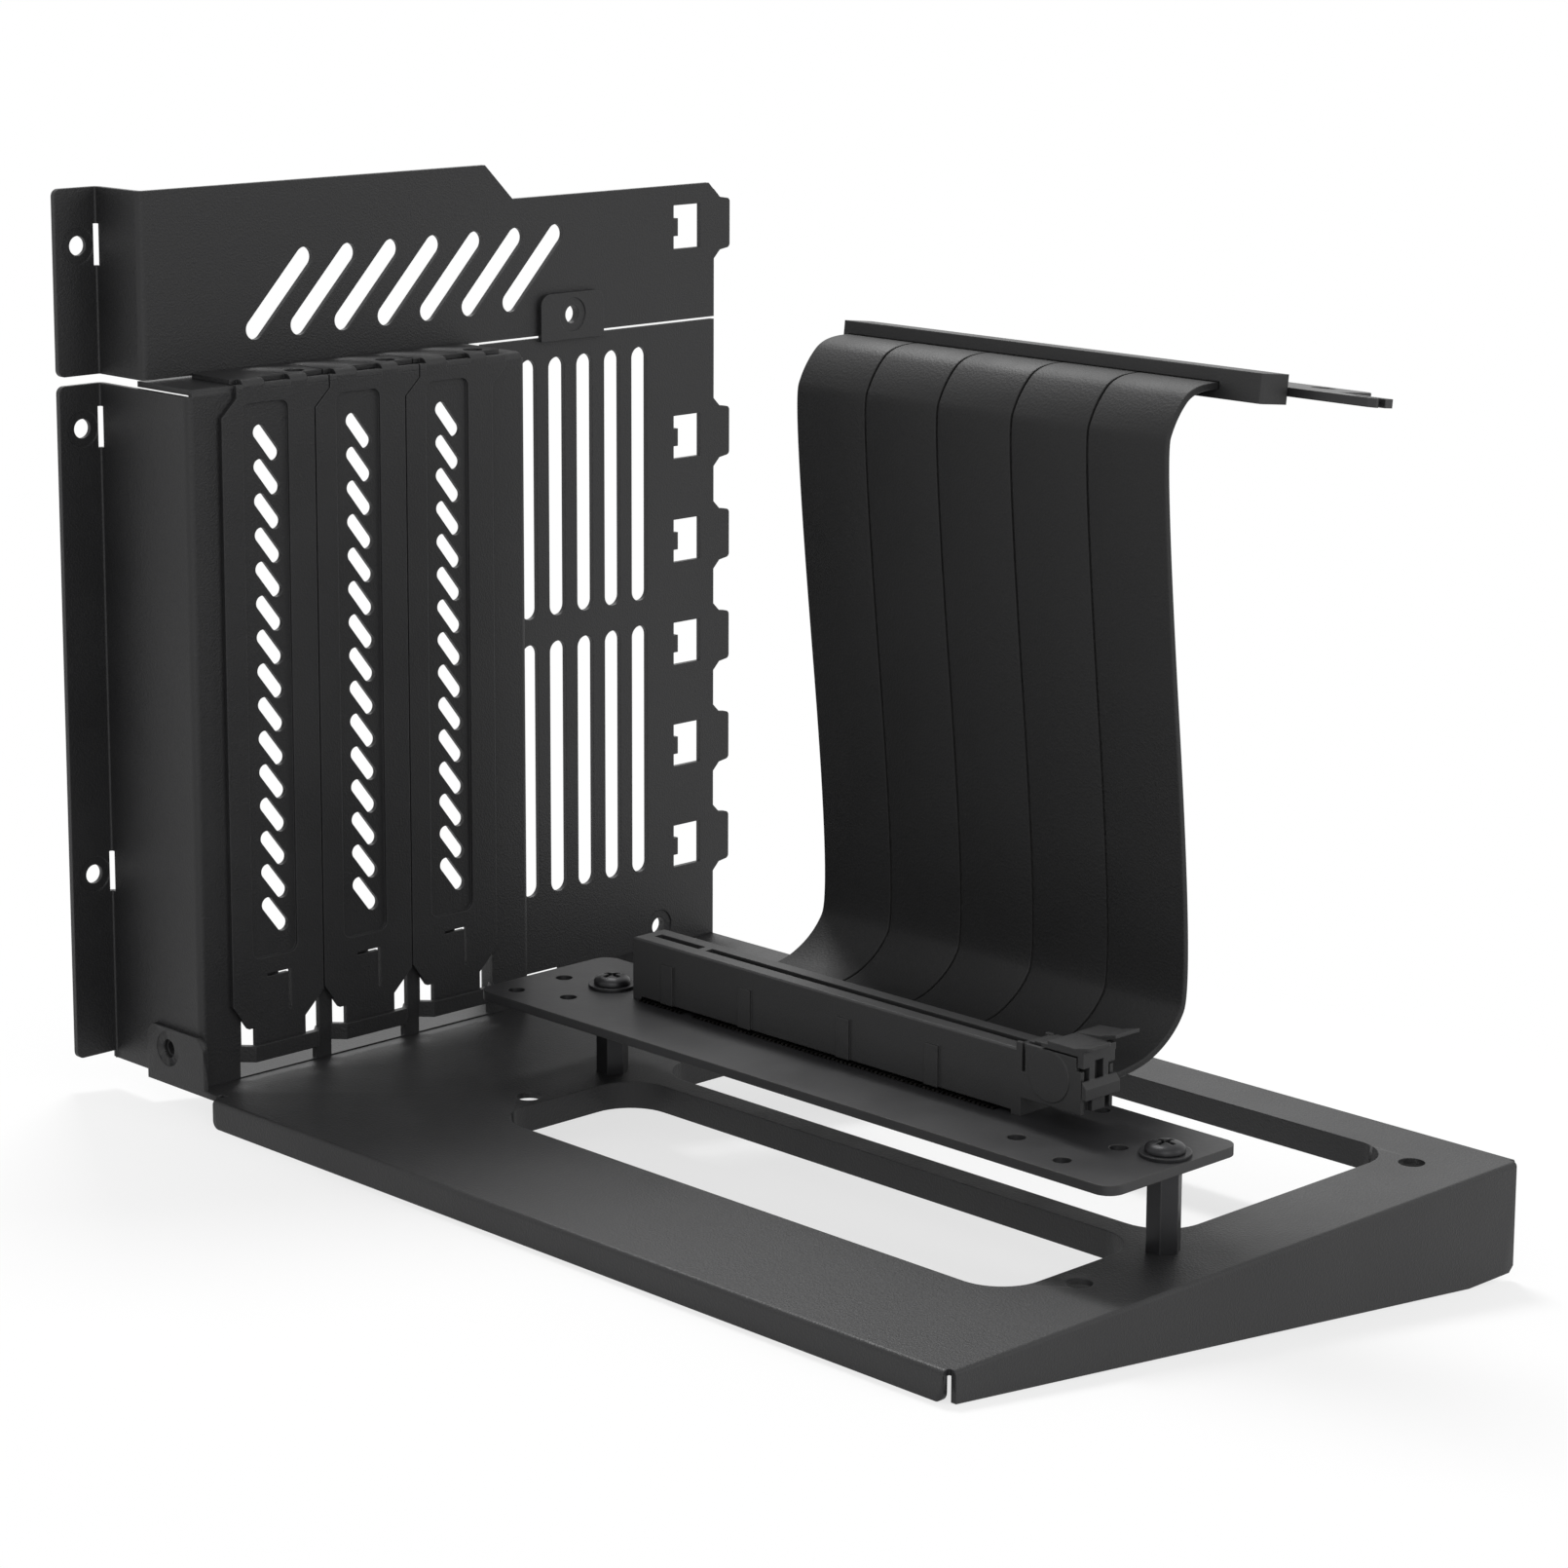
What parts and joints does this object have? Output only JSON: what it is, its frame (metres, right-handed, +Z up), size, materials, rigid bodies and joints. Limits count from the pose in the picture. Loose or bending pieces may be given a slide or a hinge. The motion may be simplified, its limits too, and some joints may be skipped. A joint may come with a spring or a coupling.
{
  "type": "vertical graphics card mount",
  "caption": "Black steel bracket that holds a graphics card upright in a computer case: a slotted wall with three card covers on a wedge base, a card connector on standoffs, and a five strip ribbon to its plug.",
  "frame": {"origin": "centre of the four base screw holes, on the top face of the base plate", "axes": "+Z up from the base, +X from the slotted wall out over the base, +Y along the wall away from its rear flange"},
  "size_m": [0.2085, 0.1477, 0.175],
  "materials": {
    "black_powder_coat": "fine grained matte",
    "black_board": "satin",
    "blackened_steel": "satin",
    "moulded_black": "matte",
    "latch_black": "satin",
    "gold_contacts": "polished",
    "ribbon_jacket": "fine grained matte"
  },
  "bodies": {
    "mount": {"lower_wall": "black_powder_coat", "upper_wall": "black_powder_coat", "base_plate": "black_powder_coat", "slot_cover_1": "black_powder_coat", "slot_cover_2": "black_powder_coat", "slot_cover_3": "black_powder_coat", "riser_board": "black_board", "standoffs": "blackened_steel", "washers": "blackened_steel", "board_screws": "blackened_steel", "base_screws": "blackened_steel", "connector_body": "moulded_black", "contacts": "gold_contacts", "ribbon_strip_1": "ribbon_jacket", "ribbon_strip_2": "ribbon_jacket", "ribbon_strip_3": "ribbon_jacket", "ribbon_strip_4": "ribbon_jacket", "ribbon_strip_5": "ribbon_jacket", "plug_body": "moulded_black", "plug_blade": "black_board"},
    "latch": {"latch": "latch_black"}
  },
  "joints": [
    {"name": "latch_hinge", "type": "hinge", "parent": "mount", "child": "latch", "pos_m": [0.045, -0.01925, 0.021], "axis": [0, 1, 0], "range_deg": [0, 30]}
  ]
}
